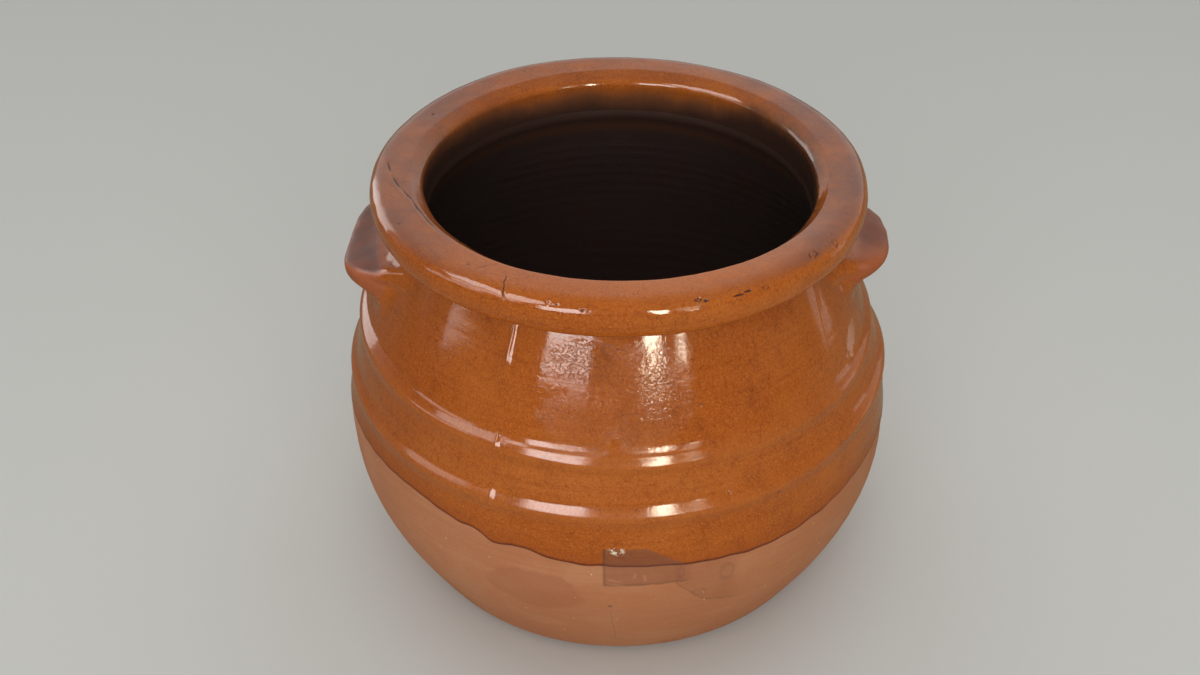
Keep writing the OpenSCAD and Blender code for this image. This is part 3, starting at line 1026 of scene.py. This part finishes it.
def filmMarks(f):
    # films dried across the dip line: their cover, their darker outline, pale streaks and glitter
    look = markLook
    film, second = look["film"], look["secondFilm"]
    plainX = f.x / metre
    x = plainX + f.wobble(0.005, None, 3) * 1.6
    z = f.z / metre + f.wobble(0.007, None, 3) * 2.4
    front = f.front()
    top = film["top"] - film["fall"] * (x - film["bend"]).atLeast(0)
    cover = plainX.rise(film["left"] - 0.4, film["left"] + 0.4) * x.fall(*film["right"])
    cover *= (top - z).rise(-0.3, 0.5) * (z - film["low"]).rise(-0.4, 0.4) * front
    within = (z - film["low"]).rise(0.5, 1.6) * plainX.rise(film["left"] + 0.5, film["left"] + 1.5)
    outline = cover * (1 - within)
    floorX, floorZ, fall = second["floor"]
    slanted = second["high"] - second["fall"] * (x - second["corner"])
    overLow = z - slanted.atLeast(floorZ - fall * (x - floorX))
    secondCover = x.rise(second["left"] - 0.5, second["left"] + 0.5) * x.fall(*second["right"])
    secondCover *= overLow.rise(-0.4, 0.4) * z.fall(second["top"], second["top"] + 2) * front
    outline += secondCover * overLow.band(0.5, 0.9) * 0.9
    for ring in look["rings"]:
        outline += f.oval(x, z, *ring).band(0.8, 0.35) * front * 0.6
    streaks = 0
    for streak in look["streaks"]:
        streaks += f.oval(x, z, *streak).fall(0.6, 1.1) * front
    glitter = f.oval(x, z, *look["glitter"]).fall(0.4, 1.1) * f.noise(0.0011, None, 2).rise(0.52, 0.6)
    return cover, secondCover, outline.clamped(), streaks.clamped(), glitter * front


def honeyGlaze():
    look = glazeLook
    f = Finish("honeyGlaze", look["amber"])
    clouds, wipes, mottle, grain, patches, flaws, fine = (
        f.noise(*look[name]) for name in ("clouds", "wipes", "mottle", "grain", "patches", "flaws", "fine")
    )
    above, crest, burst, onEar = (f.note(label) for label in ("aboveEdge", "crest", "burst", "ear"))
    creaseStart, creaseEnd = look["underRim"]
    f.lay(
        (clouds.rise(0.35, 0.7), look["light"]),
        (wipes.rise(0.45, 0.8) * 0.5, look["deep"]),
        (mottle.rise(0.5, 0.72) * 0.45, look["deep"]),
        (f.noise(0.014, 0.02, 4, 0.7).rise(0.5, 0.75) * 0.35, look["edge"]),
        (grain.rise(0.42, 0.66) * 0.55, look["light"]),
        (grain.fall(0.32, 0.48) * 0.28, look["edge"]),
        (grain.rise(0.57, 0.68) * 0.3, look["fleck"]),
        (f.x.fall(-0.11, -0.05) * 0.28, look["deep"]),  # painted shade: the left side is darker
        (f.x.rise(0.055, 0.11) * 0.2, look["crest"]),  # and painted light: the right side lighter
        (crest * 0.35, look["crest"]),
        (above.fall(*look["nearEdge"]) * 0.4, look["deep"]),  # the glaze is thicker near its edge
        ((above + (mottle - 0.5) * 0.8).fall(*look["pooled"]) * 0.95, look["edge"]),
        (f.z.rise(*creaseStart) * f.z.fall(*creaseEnd) * 0.4, look["edge"]),
    )

    # the top of the rim: dull at the sides and at the back, darker in a ring, and blotched
    facing = f.part(f.add("ShaderNodeTexCoord", output="Normal"), "Z")
    onTop = f.z.rise(*look["rimTop"]) * facing.rise(0.5, 0.9)
    dull = onTop * (abs(f.x).rise(0.045, 0.09) + f.y.rise(0.02, 0.09) * 0.6).clamped()
    dull *= 0.55 + 0.45 * patches.rise(0.3, 0.65)
    ringDarkened = onTop * f.away().band(*look["darkRingPlace"]) * (f.x.rise(0.0, 0.08) + f.y.rise(0.0, 0.1)).clamped()
    f.lay(
        (dull * 0.85, look["dull"]),
        (ringDarkened * f.noise(0.035, 0.035, 4, 0.6).rise(0.2, 0.75) * 0.6, look["ringDark"]),
        (onTop * (1 - dull) * 0.25, look["crest"]),
        (onTop * patches.rise(0.6, 0.8) * 0.21, look["edge"]),
    )

    # crackle, specks, marks on the front, and a painted highlight on the right of the shoulder
    crackle = f.cells(0.0038, "DISTANCE_TO_EDGE").fall(0.0, 0.04)
    specks = f.cells(0.0042).fall(0.05, 0.11) * f.noise(0.009, None, 1).rise(0.5, 0.62)
    cover, _, outline, _, glitter = filmMarks(f)
    # painted highlight: a pale reflection patch on the right of the shoulder
    paintedGlint = f.blot(*markLook["paintedGlint"], 0.15, f.wobble(0.0026, None, 3, 0.7) * 2.2)
    y = f.y / metre + f.wobble(0.003, None, 2) * 1.6
    scratch = f.oval(f.x / metre, y, *markLook["scratch"]).fall(0.5, 1.2)
    f.lay(
        (crackle * f.noise(0.02, None, 2).rise(0.42, 0.6) * 0.36, look["edge"]),
        (specks * 0.7, look["speck"]),
        (burst.rise(0.15, 0.75) * 0.9, look["speck"]),
        (cover * 0.55, look["film"]),
        (outline * cover * 0.35, look["speck"]),
        (glitter, clayColours["fleck"]),
        (paintedGlint * 0.65, look["paintedGlint"]),
        (scratch * onTop * 0.55, look["edge"]),
    )

    # the ears: brick where they are rough, with painted shade and dark reflection on top but for the front of the
    # right one
    # painted shade: the ears' tops darker and duller, as under the rim's overhang
    shadedEarTop = onEar * facing.rise(0.45, 0.8) * (1 - f.x.rise(0.0, 0.01) * (1 - 0.7 * f.y.rise(-0.02, -0.005)))
    f.lay(
        (onEar * facing.rise(-0.6, -0.1) * (0.45 + 0.4 * mottle), look["brick"]),
        (shadedEarTop * (0.65 + 0.3 * f.noise(0.012, 0.012, 3).rise(0.3, 0.7)), look["earTopShade"]),
    )
    intoHollow(f)

    ragged = f.wobble(0.008, None, 3)
    grainy = f.blot(*markLook["grainy"], 0.5, ragged) + f.blot(*markLook["lessGrainy"], 0.5, ragged) * 0.6
    scratched = f.blot(*markLook["scratched"], 0.4, ragged)
    lowCrest = crest * f.z.fall(*look["lowRidge"])
    rough = look["roughness"] + 0.05 * (clouds - 0.4) + 0.04 * crest + 0.06 * lowCrest + 0.25 * cover
    rough += 0.42 * onEar + 0.3 * burst + 0.14 * dull + 0.4 * glitter
    relief = f.noise(0.0013, 0.0012, 2, 0.5) * 0.12 + fine * 0.09 + mottle * 0.24 + wipes * 0.2 - crackle * 0.06
    relief += (fine + f.noise(0.002, 0.0015, 2, 0.5) * 2.0) * grainy
    relief -= flaws.rise(0.51, 0.58) * (scratched + 0.7 * grainy) * 2.1
    relief += onEar * f.noise(0.0018, None, 3, 0.6) * 2.5 + onTop * fine * 0.5
    return f.finished(rough.clamped(), (relief, 1.0, look["reliefDepth"]), Metallic=0.0, IOR=1.5)


def hollowGlaze():
    f = Finish("hollowGlaze", hollowColours["deep"])
    patch = f.noise(0.03, 0.03, 4)
    f.lay(
        (patch.rise(0.45, 0.75) * 0.6, hollowColours["warm"]),
        (f.z.rise(0.158, 0.182), glazeLook["inside"][1]),
    )
    intoHollow(f)
    rough = (0.22 + 0.2 * patch).clamped()
    return f.finished(rough, (f.noise(0.002, None, 2), 1.0, 0.00008), Metallic=0.0, IOR=1.5)


def bareClay():
    look = clayColours
    f = Finish("bareClay", look["body"])
    lines = f.noise(0.06, 0.0011, 4, 0.65, 0.2)
    grit = f.noise(0.0009, None, 3, 0.6)
    f.lay(
        (f.noise(0.03, 0.02, 4, 0.6).rise(0.4, 0.7) * 0.6, look["pale"]),
        (lines.rise(0.45, 0.75) * 0.3, look["red"]),
        (grit.rise(0.5, 0.75) * 0.3, look["red"]),
    )

    # marks on the front
    cover, secondCover, outline, streaks, _ = filmMarks(f)
    dried = 0.7 + 0.6 * (f.noise(0.006, None, 3, 0.6) - 0.4)
    x, z = f.x / metre, f.z / metre
    front = f.front()
    smudge = f.oval(x, z, *markLook["smudge"]) + f.wobble(0.01, None, 3) * 0.5
    topX, topZ, lowX, lowZ, wide = markLook["line"]
    aside = x - topX - (topZ - z) * ((lowX - topX) / (topZ - lowZ)) + f.wobble(0.008, None, 2) * 1.2
    thread = abs(aside).fall(0, wide) * z.rise(lowZ, lowZ + 6) * z.fall(topZ - 8, topZ) * front
    f.lay(
        (cover * dried * 0.8, look["stain"]),
        (secondCover * dried * 0.4, look["stain"]),
        (outline * 0.32, look["dark"]),
        (streaks * 0.45, look["pale"]),
        (smudge.fall(0.85, 1.05) * front * 0.45, look["red"]),
        (f.oval(x, z, *markLook["spot"]).fall(0.5, 1.1) * front * 0.6, look["dark"]),
        (thread * 0.45, look["dark"]),
    )

    # pale flecks, dark iron spots, and a heel darker towards the bottom
    flecks = f.cells(0.006).fall(0.04, 0.09) * f.noise(0.011, None, 1).rise(0.52, 0.6)
    iron = f.cells(0.005, chance=0.9).fall(0.03, 0.08) * f.noise(0.013, None, 1).fall(0.4, 0.46)
    f.lay(
        (flecks * 0.8, look["fleck"]),
        (iron * 0.7, look["dark"]),
        (f.z.fall(0.0, 0.007) * 0.45, look["stain"]),
    )
    relief = grit * 0.6 + lines * 0.5 + f.noise(0.00035, None, 1) * 0.3
    return f.finished((0.62 + 0.2 * grit).clamped(), (relief, 0.6, 0.0002), Metallic=0.0, IOR=1.45)


def joiningSlip():
    f = Finish("joiningSlip", slipColours[0])
    smear = f.noise(0.01, 0.003, 3)
    f.lay((smear.rise(0.3, 0.7), slipColours[1]))
    return f.finished((0.6 + 0.2 * smear).clamped(), (smear, 0.5, 0.0003), Metallic=0.0)


# Assembly

glaze, hollow, clay, slip = honeyGlaze(), hollowGlaze(), bareClay(), joiningSlip()
print("mixed the finishes")
makeOuterGlaze(glaze)
makeRim(glaze, clay)
makeInnerGlaze(hollow)
makeClayBody(clay)
for side, label in ((-1, "left"), (1, "right")):
    makeEar(side, label, glaze, slip, clay)


# Floor, light and camera, in metres

studio = {
    "floor": tone(208, 209, 205),
    "floorShown": tone(150, 144, 124),  # the floor as the glaze shows it
    "floorHalf": 4.0,  # half of the floor's width
    "floorDown": 0.0001,  # how far it lies below the pot
    "front": 0.15,  # brightness of the room in front of the pot
    "back": 0.78,  # and behind it
    "beyond": 0.6,  # the room behind the floor's far edge
    "tint": (1, 0.985, 0.96, 1),
    "sky": (1.0, 0.96, 0.94),
    "sun": (1.0, 0.9, 0.7),
    "aim": (0, -0.09, 0.15),  # the upper front of the pot, which all lamps look at
    # broad lights that don't show in the glaze: height in degrees, sizes, radiance and distance
    "fills": (("fill", 90, 2.6, 2.6, 0.74, 1.6), ("frontFill", 25, 2.2, 1.3, 2.45, 1.9)),
    # windows that show in the glaze: turns, heights, radiance, colour, roll and distance
    "windows": (
        ("windowLeft", -36, -12.5, 14, 34, 10.5, "sky", 0, 1.6),
        ("windowFar", -92, -37, 35, 56, 6.5, "sky", 0, 1.6),
        ("windowPale", -80, -46, 22.5, 33, 3.4, "sky", 0, 1.6),
        ("windowLow", -90, -60, 9.5, 19, 2.2, "sky", 26, 1.6),
        ("windowRight", 13.8, 21.8, 13, 33, 30.0, "sun", 0, 1.6),
        ("windowSlit", 28, 35, 16.5, 34, 3.2, "sun", 0, 1.6),
        ("windowPane", 30, 34, 13.4, 15.6, 22.0, "sun", 0, 1.6),
        ("windowWall", -143, -118, -6, 24, 2.4, "sky", 0, 1.6),
        ("windowSide", 104, 113, -9, 3, 0.7, "sky", 0, 0.85),
    ),
}

photo = {
    "width": 1200,
    "focal": 1600.0,  # in pixels
    "tilt": 36.6,  # degrees down
    "distance": 0.7646,  # from the camera to a point on the pot's axis, 100 mm up
    "aimHeight": 0.1,
    "aside": 19.0,  # the pot's axis lies this many pixels right of the middle
    "below": 12.8,  # and its aim point this many below
}


def makeFloor():
    half = studio["floorHalf"]
    mesh = bpy.data.meshes.new("floor")
    mesh.from_pydata([(-half, -half, 0), (half, -half, 0), (half, half, 0), (-half, half, 0)], [], [(0, 1, 2, 3)])
    floor = linkNew("floor", mesh)
    floor.location.z = -studio["floorDown"]
    f = Finish("floorPaper", studio["floor"])
    f.lay((f.add("ShaderNodeLightPath", output="Is Glossy Ray"), studio["floorShown"]))
    mesh.materials.append(f.finished(0.9, **{"Specular IOR Level": 0.1}))


def makeLamp(name, turn, lift, wide, high, radiance, distance):
    way = Vector(place(turn, math.cos(lift * degree), math.sin(lift * degree)))
    data = bpy.data.lights.new(name, "AREA")
    data.shape = "RECTANGLE"
    data.size, data.size_y = wide, high
    data.energy = radiance * math.pi * wide * high
    lamp = linkNew(name, data)
    lamp.location = Vector(studio["aim"]) + distance * way
    lamp.rotation_euler = way.to_track_quat("Z", "Y").to_euler()
    lamp.visible_camera = False
    return lamp


def makeWindow(name, fromTurn, toTurn, low, high, radiance, colour, roll, distance):
    # a lamp that fills this part of the room as the pot sees it
    turn, lift = (fromTurn + toTurn) / 2, (low + high) / 2
    wide = 2 * distance * math.tan((toTurn - fromTurn) * degree / 2) * math.cos(lift * degree)
    tall = 2 * distance * math.tan((high - low) * degree / 2)
    lamp = makeLamp(name, turn, lift, wide, tall, radiance, distance)
    lamp.data.color = studio[colour]
    lamp.rotation_euler.rotate_axis("Z", roll * degree)
    lamp.visible_diffuse = False


def makeWorld():
    world = bpy.data.worlds.new("room")
    bpy.context.scene.world = world
    world.use_nodes = True
    n = Nodes(world.node_tree)
    deep = n.part(n.add("ShaderNodeTexCoord", output="Generated"), "Y")
    seen = n.add("ShaderNodeLightPath", output="Is Camera Ray")
    lit = deep.rise(0.0, 0.8, studio["front"], studio["back"])
    strength = n.add("ShaderNodeMix", None, {"Factor": seen, "A": lit, "B": studio["beyond"]})
    room = n.add("ShaderNodeBackground", None, {"Color": studio["tint"], "Strength": strength})
    n.add("ShaderNodeOutputWorld", None, {"Surface": room})


def makeCamera():
    data = bpy.data.cameras.new("camera")
    data.sensor_width = 36
    data.lens = photo["focal"] / photo["width"] * data.sensor_width
    data.shift_x = -photo["aside"] / photo["width"]
    data.shift_y = photo["below"] / photo["width"]
    camera = linkNew("camera", data)
    tilt, distance = math.radians(photo["tilt"]), photo["distance"]
    camera.location = (0, -distance * math.cos(tilt), photo["aimHeight"] + distance * math.sin(tilt))
    camera.rotation_euler = (math.radians(90) - tilt, 0, 0)
    bpy.context.scene.camera = camera


makeFloor()
makeWorld()
for window in studio["windows"]:
    makeWindow(*window)
for name, *shape in studio["fills"]:
    makeLamp(name, 0, *shape).visible_glossy = False
makeCamera()
bpy.context.scene.view_settings.view_transform = "Standard"
print("set up the floor, lights and camera")
